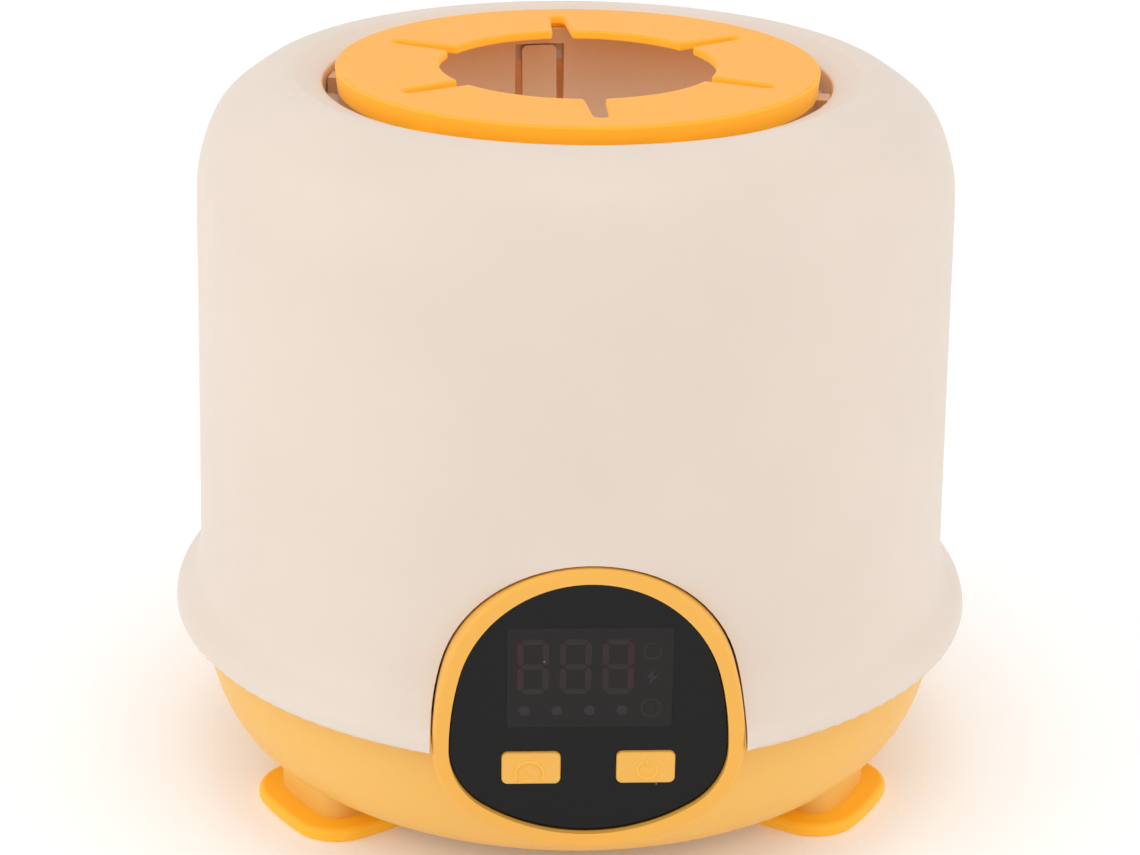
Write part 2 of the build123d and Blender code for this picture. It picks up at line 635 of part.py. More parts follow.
def port_opening():
    """The round-ended hole in the bowl's back wall that the plug goes through."""
    width, height = PORT_WIDTH + 2 * PORT_GAP, PORT_HEIGHT + 2 * PORT_GAP
    plane = Plane((0, BOWL_RADIUS + 5, PORT_Z), x_dir=(1, 0, 0), z_dir=(0, -1, 0))
    return extrude(plane * SlotOverall(width, height), 14)


# ---- ring, liner and fingers --------------------------------------------------------------------------


def ring_slit():
    """One pinwheel slit: a straight edge, a slanted edge and a round tip."""
    mouth_y = RING_HOLE_RADIUS * 0.8
    tip_radius = (SLIT_TIP_X - SLIT_STRAIGHT_X) / 2
    tip_y = SLIT_TIP_RADIUS - tip_radius
    tip = (SLIT_STRAIGHT_X + tip_radius, SLIT_TIP_RADIUS)
    edges = [
        Line((SLIT_STRAIGHT_X, mouth_y), (SLIT_STRAIGHT_X, tip_y)),
        ThreePointArc((SLIT_STRAIGHT_X, tip_y), tip, (SLIT_TIP_X, tip_y)),
        Line((SLIT_TIP_X, tip_y), (SLIT_MOUTH_X, mouth_y)),
        Line((SLIT_MOUTH_X, mouth_y), (SLIT_STRAIGHT_X, mouth_y)),
    ]
    return make_face(edges)


def edge_reach(edge):
    """The largest distance of an edge's ends from the chamber's axis."""
    return max(math.hypot(corner.X, corner.Y) for corner in edge.vertices())


def silicone_ring():
    """The soft ring that grips the bottle: a deep rim and thin petals between six slits."""
    bottom = RING_RADIUS - RING_DRAFT
    body = spun([
        Line((RING_HOLE_RADIUS, HEIGHT), (RING_RADIUS, HEIGHT)),
        Line((RING_RADIUS, HEIGHT), (bottom, RING_BOTTOM_Z)),
        Line((bottom, RING_BOTTOM_Z), (RING_POCKET_RADIUS, RING_BOTTOM_Z)),
        Line((RING_POCKET_RADIUS, RING_BOTTOM_Z), (RING_POCKET_RADIUS, WEB_Z)),
        Line((RING_POCKET_RADIUS, WEB_Z), (RING_HOLE_RADIUS, WEB_Z)),
        Line((RING_HOLE_RADIUS, WEB_Z), (RING_HOLE_RADIUS, HEIGHT)),
    ])
    cut = Pos(0, 0, WEB_Z - 1) * extrude(ring_slit(), RING_WEB + 2)
    for index in range(SLIT_COUNT):
        body -= turned(SLIT_TURN + index * 360 / SLIT_COUNT) * cut
    corners = body.edges().filter_by(Axis.Z).filter_by_position(Axis.Z, WEB_Z, HEIGHT)
    corners = [edge for edge in corners if edge_reach(edge) < RING_HOLE_RADIUS + PETAL_CORNER]
    body = fillet(corners, PETAL_CORNER)
    body = fillet(body.edges().group_by(Axis.Z)[-1], RING_EDGE_FILLET)
    under = body.edges().filter_by_position(Axis.Z, WEB_Z, WEB_Z)
    under = [edge for edge in under if edge_reach(edge) < RING_POCKET_RADIUS - RING_EDGE_FILLET]
    return fillet(under, RING_EDGE_FILLET)


def chamber_liner():
    """The tube that the bottle goes down into, with a flange, an upstand and three finger windows."""
    liner = disc(LINER_OUTER, LINER_BOTTOM_Z, UPSTAND_Z, inner=LINER_RADIUS)
    liner += disc(LINER_FLANGE_RADIUS, LEDGE_Z, FLANGE_TOP_Z, inner=LINER_RADIUS + LINER_WALL / 2)
    lug_half = LINER_LUG_WIDTH / 2
    lug = block((LINER_OUTER, MOUTH_RADIUS - FIT_GAP), (-lug_half, lug_half), (LEDGE_Z, FLANGE_TOP_Z))
    for index in range(LINER_LUG_COUNT):
        liner += turned(LUG_TURN + index * 360 / LINER_LUG_COUNT) * lug
        if index % 2 == 0:
            at = polar(LINER_SCREW_CIRCLE, LUG_TURN + index * 360 / LINER_LUG_COUNT)
            liner -= disc(SMALL_SCREW_RADIUS + SCREW_HOLE_GAP, LEDGE_Z - 1, FLANGE_TOP_Z + 1, at=at)
            liner -= disc(SMALL_HEAD_RADIUS + SCREW_HOLE_GAP, LINER_SCREW_SEAT_Z, FLANGE_TOP_Z + 1, at=at)
    window_half = FINGER_WIDTH / 2 + FINGER_SIDE_GAP
    window = block((LINER_RADIUS - 3, LINER_OUTER + 0.01), (-window_half, window_half),
                   (FINGER_TOP_Z - FINGER_WINDOW_HEIGHT, FINGER_TOP_Z))
    for index in range(FINGER_COUNT):
        liner -= turned(FINGER_AZIMUTH + index * 360 / FINGER_COUNT) * window
    return liner


def centring_finger(index):
    """A flexible finger that hangs in its window and leans in, with a rounded foot."""
    length = FINGER_WINDOW_HEIGHT - FINGER_FOOT_GAP
    mid = LINER_RADIUS + LINER_WALL / 2
    face = (-FINGER_THICKNESS / 2, FINGER_THICKNESS / 2)
    blade = block(face, (-FINGER_WIDTH / 2, FINGER_WIDTH / 2), (-length, -FIT_GAP))
    blade = fillet(blade.edges().filter_by(Axis.X), FINGER_CORNER)
    nib = Pos(-FINGER_THICKNESS / 2, 0, 5 - length) * Rot(90, 0, 0)
    nib *= Cylinder(FINGER_CORNER, FINGER_WIDTH - 2)
    leaning = Pos(mid, 0, FINGER_TOP_Z) * Rot(0, FINGER_LEAN, 0) * (blade + nib)
    return turned(FINGER_AZIMUTH + index * 360 / FINGER_COUNT) * leaning


# ---- heating cup --------------------------------------------------------------------------------------


def heating_cup():
    """The drawn aluminium cup that warms the bottle."""
    cup = disc(CUP_OUTER, CUP_UNDER_Z, CUP_TOP_Z)
    cup = fillet(cup.edges().sort_by(Axis.Z)[0], 2.5)
    cup += disc(CUP_FLANGE_RADIUS, CUP_TOP_Z - CUP_WALL, CUP_TOP_Z)
    inside = disc(CUP_RADIUS, CUP_FLOOR_Z, CUP_TOP_Z + 1)
    inside = fillet(inside.edges().sort_by(Axis.Z)[0], 2.0)
    return cup - inside


def heater_film():
    """The heater wrapped round the cup, with a gap at the back where its ends meet."""
    inner = CUP_OUTER + HEATER_GAP
    low, high = CUP_FLOOR_Z + HEATER_INSET, CUP_TOP_Z - HEATER_TOP_GAP
    film = disc(inner + HEATER, low, high, inner=inner)
    return film - block((-HEATER_SPLIT / 2, HEATER_SPLIT / 2), (0, inner + 2), (low - 1, high + 1))


def insulation_sleeve():
    """Felt round the heater."""
    return disc(SLEEVE_OUTER, CUP_FLOOR_Z, CUP_TOP_Z - CUP_WALL - FIT_GAP, inner=SLEEVE_INNER)


def cradle_post(quarter):
    """The centre of one of the cradle's four posts."""
    return polar(CRADLE_POST_CIRCLE, 45 + 90 * quarter)


def cup_cradle():
    """The moulded cradle that carries the cup and its insulation on four posts."""
    top = CRADLE_INSIDE_Z + CRADLE_RIM
    cradle = disc(CRADLE_OUTER, CRADLE_FLOOR_Z, top)
    cradle -= disc(CRADLE_OUTER - CRADLE_WALL, CRADLE_INSIDE_Z, top)
    cradle -= disc(SENSOR_RADIUS + FIT_GAP, CRADLE_FLOOR_Z, CRADLE_INSIDE_Z)
    for quarter in range(4):
        at = cradle_post(quarter)
        cradle += disc(CRADLE_POST_RADIUS, BOWL_INSIDE_Z, CRADLE_FLOOR_Z + 1, at=at)
        cradle -= disc(SMALL_SCREW_RADIUS + THREAD_GAP, BOWL_INSIDE_Z, BOWL_INSIDE_Z + 8, at=at)
    return cradle


def insulation_pad():
    """Felt under the cup, with a hole for the sensor and a slot for the thermal fuse."""
    pad = disc(CUP_OUTER - 3, CRADLE_INSIDE_Z, CUP_UNDER_Z, inner=SENSOR_RADIUS + FIT_GAP)
    slot = FUSE_RADIUS + FIT_GAP
    x = (FUSE_OFFSET - slot, FUSE_OFFSET + slot)
    return pad - block(x, (-FUSE_LENGTH, FUSE_LENGTH), (CRADLE_INSIDE_Z, CUP_UNDER_Z))


def temperature_sensor():
    """The sensor button held against the cup's floor."""
    shoulder_z = CUP_UNDER_Z - SENSOR_HEAD
    head = disc(SENSOR_RADIUS, shoulder_z, CUP_UNDER_Z)
    return head + disc(SENSOR_RADIUS * 0.6, CRADLE_FLOOR_Z - SENSOR_HEAD, shoulder_z)


def thermal_fuse():
    """The cut-out that lies under the cup, with its two leads."""
    middle = Pos(FUSE_OFFSET, 0, CUP_UNDER_Z - FUSE_RADIUS - SEAT_GAP) * Rot(90, 0, 0)
    return middle * Cylinder(FUSE_RADIUS, FUSE_LENGTH) + middle * Cylinder(0.4, 2 * FUSE_LENGTH - 1)


# ---- control panel ------------------------------------------------------------------------------------


def button_sketch(side, grow=0.0):
    """A button's rounded rectangle on the panel."""
    shape = RectangleRounded(BUTTON_WIDTH + 2 * grow, BUTTON_HEIGHT + 2 * grow, BUTTON_CORNER + grow)
    return Pos(side * BUTTON_SPREAD, BUTTON_Z) * shape


def panel_bezel():
    """The frame round the lens: a tube with a shelf, a hidden flange and four bosses."""
    bezel = panel_slab(lens_outline(BEZEL_BAND), 0, BEZEL_DEPTH)
    front = bezel.faces().sort_by(Axis.Y)[0]
    bezel = fillet(front.edges(), BEZEL_EDGE)
    flange = lens_outline(BEZEL_BAND + BEZEL_FLANGE_WIDTH)
    bezel += panel_slab(flange, BEZEL_DEPTH - BEZEL_FLANGE, BEZEL_DEPTH)
    bezel -= panel_slab(lens_outline(LENS_GAP), -1, LENS_BACK)
    bezel -= panel_slab(lens_outline(-BEZEL_SHELF_WIDTH), 0, BEZEL_DEPTH + 1)
    bezel -= panel_slab(lens_outline(LENS_GAP), SHELF_BACK, BEZEL_DEPTH + 1)
    tube = panel_slab(lens_outline(BEZEL_BAND), 0, BEZEL_DEPTH)
    for x, z in PANEL_SCREWS:
        bezel += panel_slab(Pos(x, z) * Circle(PANEL_BOSS_RADIUS), LENS_BACK + SEAT_GAP, BOARD_FRONT) & tube
        bezel -= panel_slab(Pos(x, z) * Circle(SMALL_SCREW_RADIUS + THREAD_GAP), SHELF_BACK, BOARD_FRONT + 1)
    return bezel


def panel_lens():
    """The dark lens, with two button holes."""
    lens = panel_slab(lens_outline(), LENS_RECESS, LENS_BACK)
    front = lens.faces().sort_by(Axis.Y)[0]
    lens = fillet(front.edges(), LENS_EDGE)
    for side in (-1, 1):
        lens -= panel_slab(button_sketch(side, BUTTON_GAP), -1, LENS_BACK + 1)
    return lens


def button_cap(side):
    """A cap that stands through the lens, with a flange behind it and a stem to its switch."""
    cap = panel_slab(button_sketch(side), BUTTON_FRONT, BUTTON_BACK)
    cap = fillet(cap.faces().sort_by(Axis.Y)[0].edges(), BUTTON_EDGE)
    cap += panel_slab(button_sketch(side, BUTTON_FLANGE_WIDTH), LENS_BACK + SEAT_GAP, BUTTON_BACK)
    return cap + panel_slab(Pos(side * BUTTON_SPREAD, BUTTON_Z) * Circle(STEM_RADIUS), BUTTON_BACK, STEM_BACK)


def switch_plunger(side):
    """The switch's own moving pin, in line behind the stem."""
    at = Pos(side * BUTTON_SPREAD, BUTTON_Z)
    return panel_slab(at * Circle(PLUNGER_RADIUS), STEM_BACK, STEM_BACK + PLUNGER_LENGTH)


def switch_body(side):
    """The square body of a switch on the panel board."""
    at = Pos(side * BUTTON_SPREAD, BUTTON_Z)
    body = panel_slab(at * Rectangle(SWITCH_SIZE, SWITCH_SIZE), SWITCH_FRONT, BOARD_FRONT)
    well = STEM_BACK + PLUNGER_LENGTH + BUTTON_TRAVEL + PLUNGER_ROOM
    return body - panel_slab(at * Circle(PLUNGER_RADIUS + PLUNGER_GAP), SWITCH_FRONT, well)


def panel_board():
    """The board that carries the display and both switches."""
    board = panel_slab(lens_outline(-LENS_GAP * 2), BOARD_FRONT, BOARD_BACK)
    hole = Circle(SMALL_SCREW_RADIUS + SCREW_HOLE_GAP)
    for x, z in PANEL_SCREWS:
        board -= panel_slab(Pos(x, z) * hole, BOARD_FRONT - 1, BOARD_BACK + 1)
    return board


def display_module():
    """The display block behind the lens."""
    sketch = Pos(0, DISPLAY_Z) * RectangleRounded(DISPLAY_WIDTH, DISPLAY_HEIGHT, DISPLAY_CORNER)
    return panel_slab(sketch, DISPLAY_FACE, BOARD_FRONT)


def segment(length, width):
    """One bar of a digit, pointed at both ends, lying along x."""
    half, tip = length / 2, width / 2
    upper = [(-half, 0), (tip - half, tip), (half - tip, tip), (half, 0)]
    lower = [(half - tip, -tip), (tip - half, -tip)]
    return make_face(Polyline(*upper, *lower, close=True))


def display_segments():
    """Three seven-bar digits and a row of dots on the display's face."""
    front = DISPLAY_FACE - SEGMENT_THICKNESS
    across = DIGIT_WIDTH - SEGMENT_WIDTH
    half = (DIGIT_HEIGHT - SEGMENT_WIDTH) / 2
    digit_z = DISPLAY_Z + DIGIT_RISE
    shapes = []
    for digit in range(DIGIT_COUNT):
        x = DIGIT_LEFT + digit * DIGIT_PITCH
        for row in (-1, 0, 1):
            shapes.append(Pos(x, digit_z + row * half) * segment(across - SEGMENT_GAP, SEGMENT_WIDTH))
        for column in (-1, 1):
            for row in (-1, 1):
                place = Pos(x + column * across / 2, digit_z + row * half / 2) * Rot(0, 0, 90)
                shapes.append(place * segment(half - SEGMENT_GAP, SEGMENT_WIDTH))
    for dot in range(DOT_COUNT):
        shapes.append(Pos(DOT_LEFT + dot * DOT_PITCH, DISPLAY_Z - DOT_DROP) * Circle(DOT_RADIUS))
    return group([panel_slab(shape, front, DISPLAY_FACE) for shape in shapes])


# ---- electronics in the base --------------------------------------------------------------------------


def standoff(quarter):
    """The centre of one of the main board's four standoffs."""
    return polar(STANDOFF_CIRCLE, 45 + 90 * quarter)


def main_board():
    """The round board on the bowl's standoffs."""
    board = disc(MAIN_BOARD_RADIUS, MAIN_BOARD_Z, MAIN_BOARD_TOP_Z)
    for quarter in range(4):
        hole = SMALL_SCREW_RADIUS + SCREW_HOLE_GAP
        board -= disc(hole, MAIN_BOARD_Z - 1, MAIN_BOARD_TOP_Z + 1, at=standoff(quarter))
    return board


def board_components():
    """Controller, power parts, coil and sockets on the main board, placed from its standoffs."""
    low = MAIN_BOARD_TOP_Z
    field = standoff(0)[0]
    chip = block((6.5 - field, 15.5 - field), (field - 16.5, field - 7.5), (low, low + 1.2))
    driver = block((6, 12), (field - 14.5, field - 9.5), (low, low + 1.8))
    coil = disc(6, low, low + 6, inner=2.2, at=(field - 8.5, 8.5 - field))
    capacitors = [disc(3.1, low, low + 6, at=(4.5 - field + 8 * index, 6.5 - field)) for index in range(2)]
    rows = (field - 3.5, field + 1.5)
    sockets = [block((x - 4, x + 4), rows, (low, low + 5)) for x in (8.5 - field, field - 8.5)]
    return group([chip, driver, coil, *capacitors, *sockets])


def buzzer():
    """The round sounder on the main board."""
    at = (BUZZER_INSET - MAIN_BOARD_RADIUS, 0)
    high = MAIN_BOARD_TOP_Z + BUZZER_HEIGHT
    return disc(BUZZER_RADIUS, MAIN_BOARD_TOP_Z, high, at=at) - disc(BUZZER_HOLE, high - 1.5, high, at=at)


def bank_pair(bank, offset):
    """Two places on the cells' circle, at an offset either side of a bank's middle."""
    half_turn = math.degrees(math.asin(offset / CELL_CIRCLE))
    return [polar(CELL_CIRCLE, bank - half_turn), polar(CELL_CIRCLE, bank + half_turn)]


def battery_cells(bank):
    """Two round cells, standing up, each with its raised terminal."""
    top = CELL_Z + CELL_LENGTH
    cells = []
    for at in bank_pair(bank, CELL_PITCH / 2):
        can = disc(CELL_RADIUS, CELL_Z, top - CELL_TERMINAL, at=at)
        can = fillet(can.edges(), CELL_EDGE)
        cells.append(can + disc(CELL_TERMINAL_RADIUS, top - CELL_TERMINAL, top, at=at))
    return group(cells)


def battery_holder(bank):
    """The two-cell cup that stands on the bowl's posts."""
    top = HOLDER_Z + HOLDER_HEIGHT
    first, second = bank_pair(bank, CELL_PITCH / 2)
    holder = disc(HOLDER_OUTER, HOLDER_Z, top, at=first) + disc(HOLDER_OUTER, HOLDER_Z, top, at=second)
    for at in (first, second):
        holder -= disc(CELL_RADIUS + HOLDER_GAP, HOLDER_Z + HOLDER_FLOOR, top, at=at)
    return holder


def charging_port():
    """The metal shell of the charging socket, with its tongue."""
    plane = Plane((0, PORT_MOUTH, PORT_Z), x_dir=(1, 0, 0), z_dir=(0, -1, 0))
    inner = SlotOverall(PORT_WIDTH - 2 * PORT_WALL, PORT_HEIGHT - 2 * PORT_WALL)
    shell = extrude(plane * SlotOverall(PORT_WIDTH, PORT_HEIGHT), PORT_LENGTH)
    shell -= extrude(plane * inner, PORT_LENGTH - 1)
    return shell + extrude(plane.offset(1.2) * Rectangle(PORT_TONGUE_WIDTH, PORT_TONGUE), PORT_LENGTH - 1.7)


def port_board():
    """The small board under the charging socket."""
    half = PORT_BOARD_WIDTH / 2
    y = (PORT_BOARD_END - PORT_BOARD_LENGTH, PORT_BOARD_END)
    return block((-half, half), y, (PORT_UNDER_Z - PORT_BOARD_THICKNESS, PORT_UNDER_Z))


def display_ribbon():
    """The flat cable from the panel board to the main board."""
    start_y = BOARD_BACK - PANEL_FRONT
    high, low = PANEL_Z - RIBBON_DROP, MAIN_BOARD_TOP_Z
    far = RIBBON_REACH - MAIN_BOARD_RADIUS
    path = [(start_y, high), (start_y + 6, high), (start_y + 12, low + 6), (far, low + 2), (far, low)]
    back = [(far + RIBBON, low), (far + RIBBON, low + 2 + RIBBON), (start_y + 12 + RIBBON, low + 6 + RIBBON)]
    back += [(start_y + 6 + RIBBON / 2, high + RIBBON), (start_y, high + RIBBON)]
    return extrude(Plane.YZ * make_face(Polyline(*path, *back, close=True)), RIBBON_HALF_WIDTH, both=True)


# ---- feet and screws ----------------------------------------------------------------------------------


def foot_pad(angle):
    """A flat silicone pad with a rounded edge and a plug up into the leg."""
    pad = extrude(foot_outline(), FOOT_PAD)
    pad = fillet(pad.edges().group_by(Axis.Z)[-1], FOOT_PAD_EDGE)
    pad = fillet(pad.edges().group_by(Axis.Z)[0], FOOT_PAD_EDGE * 0.7)
    plug = foot_outline(FOOT_INSET + FOOT_PLUG_INSET + PLUG_GAP)
    return turned(angle) * (pad + extrude(plug, FOOT_PAD + FOOT_PLUG))


def housing_screws():
    """Four long-reach screws, up through the legs into the housing."""
    one = Pos(HOUSING_SCREW_CIRCLE, 0, COLUMN_Z - SCREW_SEAT)
    one *= screw(BIG_SCREW_RADIUS, BIG_SCREW_LENGTH, BIG_HEAD_RADIUS, BIG_HEAD)
    return group([turned(angle) * one for angle in FOOT_ANGLES])


def panel_screws():
    """Four screws that hold the panel board on the bezel."""
    small = screw(SMALL_SCREW_RADIUS, SMALL_SCREW_LENGTH, SMALL_HEAD_RADIUS, SMALL_HEAD)
    back = BOARD_BACK - PANEL_FRONT
    return group([Pos(x, back, z) * Rot(90, 0, 0) * small for x, z in PANEL_SCREWS])


def board_screws():
    """Four screws that hold the main board on its standoffs."""
    small = screw(SMALL_SCREW_RADIUS, SMALL_SCREW_LENGTH, SMALL_HEAD_RADIUS, SMALL_HEAD)
    places = [polar(STANDOFF_CIRCLE, 45 + 90 * quarter, MAIN_BOARD_TOP_Z) for quarter in range(4)]
    return group([Pos(*place) * Rot(180, 0, 0) * small for place in places])


def liner_screws():
    """Three screws that hold the liner's lugs on the housing's ledge."""
    length = LINER_SCREW_SEAT_Z - LEDGE_Z + LEDGE
    small = screw(SMALL_SCREW_RADIUS, length, SMALL_HEAD_RADIUS, SMALL_HEAD)
    places = [polar(LINER_SCREW_CIRCLE, LUG_TURN + 120 * index, LINER_SCREW_SEAT_Z) for index in range(3)]
    return group([Pos(*place) * Rot(180, 0, 0) * small for place in places])


# ---- build --------------------------------------------------------------------------------------------

os.makedirs("parts", exist_ok=True)

housing = housing_shell()
for index in range(3):
    at = polar(LINER_SCREW_CIRCLE, LUG_TURN + 120 * index)
    housing -= disc(SMALL_SCREW_RADIUS + THREAD_GAP, LEDGE_Z - LEDGE - 1, LEDGE_Z + 1, at=at)
save(housing, "housing_shell")
save(base_bowl(), "base_bowl")
save(silicone_ring(), "silicone_ring")
save(chamber_liner(), "chamber_liner")
for index in range(FINGER_COUNT):
    save(centring_finger(index), f"centring_finger_{index + 1}")
save(disc(CUP_FLANGE_RADIUS, CUP_TOP_Z, LINER_BOTTOM_Z, inner=CUP_RADIUS), "cup_seal")
save(heating_cup(), "heating_cup")
save(heater_film(), "heater_film")
save(insulation_sleeve(), "insulation_sleeve")
save(insulation_pad(), "insulation_pad")
save(cup_cradle(), "cup_cradle")
save(temperature_sensor(), "temperature_sensor")
save(thermal_fuse(), "thermal_fuse")
save(panel_bezel(), "panel_bezel")
save(panel_lens(), "panel_lens")
save(panel_board(), "panel_board")
save(display_module(), "display_module")
save(display_segments(), "display_segments")
for side, name in ((-1, "heat"), (1, "power")):
    save(button_cap(side), f"{name}_button_cap")
    save(switch_plunger(side), f"{name}_switch_plunger")
    save(switch_body(side), f"{name}_switch_body")
save(main_board(), "main_board")
save(board_components(), "board_components")
save(buzzer(), "buzzer")
for name, bank in CELL_BANKS.items():
    save(battery_cells(bank), f"battery_cells_{name}")
    save(battery_holder(bank), f"battery_holder_{name}")
save(charging_port(), "charging_port")
save(port_board(), "port_board")
save(display_ribbon(), "display_ribbon")
for angle, name in zip(FOOT_ANGLES, FOOT_NAMES):
    save(foot_pad(angle), f"foot_pad_{name}")
save(housing_screws(), "housing_screws")
save(panel_screws(), "panel_screws")
save(board_screws(), "board_screws")
save(liner_screws(), "liner_screws")
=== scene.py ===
"""Looks of the bottle warmer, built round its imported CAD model. Metres, in the CAD model's frame."""

import json
import math
import random

import bmesh
import bpy
from mathutils import Matrix, Vector


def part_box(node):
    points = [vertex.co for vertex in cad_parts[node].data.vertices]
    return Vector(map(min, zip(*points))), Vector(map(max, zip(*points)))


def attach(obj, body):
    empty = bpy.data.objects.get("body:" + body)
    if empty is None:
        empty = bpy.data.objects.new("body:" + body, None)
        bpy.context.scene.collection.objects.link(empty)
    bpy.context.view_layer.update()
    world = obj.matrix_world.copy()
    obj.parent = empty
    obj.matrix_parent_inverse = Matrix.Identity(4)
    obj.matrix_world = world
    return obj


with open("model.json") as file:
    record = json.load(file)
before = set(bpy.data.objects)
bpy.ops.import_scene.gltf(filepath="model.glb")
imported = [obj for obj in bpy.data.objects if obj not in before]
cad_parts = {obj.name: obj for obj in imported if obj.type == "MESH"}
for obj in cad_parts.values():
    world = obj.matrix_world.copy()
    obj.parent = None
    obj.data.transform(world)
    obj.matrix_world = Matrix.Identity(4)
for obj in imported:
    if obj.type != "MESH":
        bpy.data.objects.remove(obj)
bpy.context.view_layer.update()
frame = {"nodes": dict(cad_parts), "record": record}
NODES = frame["nodes"]
MM = 0.001

# ---- places taken from the frame ----------------------------------------------------------------------

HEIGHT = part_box("silicone_ring")[1].z
LENS_FRONT_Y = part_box("panel_lens")[0].y
DISPLAY_LOW, DISPLAY_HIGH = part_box("display_module")


def centre(node):
    """The middle of a node's box."""
    low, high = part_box(node)
    return (low + high) / 2


# ---- camera -------------------------------------------------------------------------------------------

CAMERA_DISTANCE = 0.5407
CAMERA_AZIMUTH = 3.0            # degrees towards -X from the panel's own direction
CAMERA_TARGET = Vector((-0.00045, 0.0, HEIGHT - 0.07272))
CAMERA_HEIGHT = HEIGHT + 0.12449
CAMERA_ROLL = 0.863             # degrees
CAMERA_LENS = 87.47             # mm, on a sensor 36 mm wide
SENSOR_WIDTH = 36.0


def make_camera():
    """The camera, set by its height, azimuth, roll and distance from the axis at the target's height."""
    data = bpy.data.cameras.new("camera")
    data.lens = CAMERA_LENS
    data.sensor_width = SENSOR_WIDTH
    data.sensor_fit = "HORIZONTAL"
    data.clip_start = 0.01
    camera = bpy.data.objects.new("camera", data)
    bpy.context.scene.collection.objects.link(camera)
    rise = CAMERA_HEIGHT - CAMERA_TARGET.z
    across = math.sqrt(CAMERA_DISTANCE ** 2 - rise ** 2)
    turn = math.radians(CAMERA_AZIMUTH)
    place = Vector((-across * math.sin(turn), -across * math.cos(turn), CAMERA_HEIGHT))
    look = (CAMERA_TARGET - place).to_track_quat("-Z", "Y").to_matrix().to_4x4()
    roll = Matrix.Rotation(math.radians(CAMERA_ROLL), 4, "Z")
    camera.matrix_world = Matrix.Translation(place) @ look @ roll
    bpy.context.scene.camera = camera


# ---- stage and light ----------------------------------------------------------------------------------

WORLD_STRENGTH = 0.86
FLOOR_HALF = 4.0
FLOOR_GLOW = 0.07               # keeps the floor white beside the object
LIGHT_AIM = (0, 0, 0.07)
WELL_COLOUR = (1.0, 0.9, 0.82)
BEHIND_COLOUR = (1.0, 0.34, 0.08)


def make_stage():
    """A pale floor and soft white light all round."""
    mesh = bpy.data.meshes.new("floor")
    corners = [(x * FLOOR_HALF, y * FLOOR_HALF, 0) for x, y in ((-1, -1), (1, -1), (1, 1), (-1, 1))]
    mesh.from_pydata(corners, [], [(0, 1, 2, 3)])
    floor = bpy.data.objects.new("floor", mesh)
    bpy.context.scene.collection.objects.link(floor)
    material = bpy.data.materials.new("floor_paper")
    material.use_nodes = True
    shader = material.node_tree.nodes["Principled BSDF"]
    shader.inputs["Base Color"].default_value = (0.97, 0.97, 0.97, 1)
    shader.inputs["Roughness"].default_value = 0.9
    shader.inputs["Specular IOR Level"].default_value = 0.1
    shader.inputs["Emission Color"].default_value = (1, 1, 1, 1)
    shader.inputs["Emission Strength"].default_value = FLOOR_GLOW
    mesh.materials.append(material)
    world = bpy.data.worlds.new("studio")
    bpy.context.scene.world = world
    world.use_nodes = True
    background = world.node_tree.nodes["Background"]
    background.inputs["Color"].default_value = (1, 1, 1, 1)
    background.inputs["Strength"].default_value = WORLD_STRENGTH


def area_light(name, place, aim, size, watts, colour=(1, 1, 1), seen=True):
    """A square soft light at a place, pointing at another; the camera can be kept from seeing it."""
    data = bpy.data.lights.new(name, "AREA")
    data.shape = "SQUARE"
    data.size = size
    data.energy = watts
    data.color = colour
    lamp = bpy.data.objects.new(name, data)
    lamp.visible_camera = seen
    bpy.context.scene.collection.objects.link(lamp)
    place, aim = Vector(place), Vector(aim)
    turn = (aim - place).to_track_quat("-Z", "Y").to_matrix().to_4x4()
    lamp.matrix_world = Matrix.Translation(place) @ turn


def make_lights():
    """Soft light from both sides and above, and hidden lamps in the well and behind the liner."""
    area_light("left", (-1.5, -0.5, 0.7), LIGHT_AIM, 1.2, 4.7)
    area_light("right", (1.5, -0.5, 0.6), LIGHT_AIM, 1.2, 3.2)
    area_light("top", (0, -0.35, 1.6), (0, 0, HEIGHT), 0.9, 3.6)
    area_light("well", (0, -0.018, 0.07), (0, 0.04, 0.125), 0.03, 0.013, WELL_COLOUR, False)
    place, aim = (-0.010, 0.056, 0.094), (-0.008, 0.050, 0.130)
    area_light("behind_liner", place, aim, 0.02, 0.006, BEHIND_COLOUR, False)


# ---- materials ----------------------------------------------------------------------------------------


def srgb(red, green, blue):
    """A linear colour from 0-255 display values."""
    out = []
    for value in (red, green, blue):
        share = value / 255
        out.append(share / 12.92 if share <= 0.04045 else ((share + 0.055) / 1.055) ** 2.4)
    return (*out, 1.0)


def new_material(name):
    """An empty node material with its tree, shader and object coordinates."""
    material = bpy.data.materials.new(name)
    material.use_nodes = True
    tree = material.node_tree
    shader = tree.nodes["Principled BSDF"]
    coordinates = tree.nodes.new("ShaderNodeTexCoord")
    return material, tree, shader, coordinates.outputs["Object"]


def noise(tree, vector, scale, detail=3.0, rough=0.55):
    """A noise texture's factor."""
    node = tree.nodes.new("ShaderNodeTexNoise")
    node.inputs["Scale"].default_value = scale
    node.inputs["Detail"].default_value = detail
    node.inputs["Roughness"].default_value = rough
    tree.links.new(vector, node.inputs["Vector"])
    return node.outputs["Fac"]


def ramp(tree, factor, low, high, start=0.0, end=1.0):
    """A factor mapped from one range to another, clamped."""
    node = tree.nodes.new("ShaderNodeMapRange")
    node.inputs["From Min"].default_value = start
    node.inputs["From Max"].default_value = end
    node.inputs["To Min"].default_value = low
    node.inputs["To Max"].default_value = high
    tree.links.new(factor, node.inputs["Value"])
    return node.outputs["Result"]


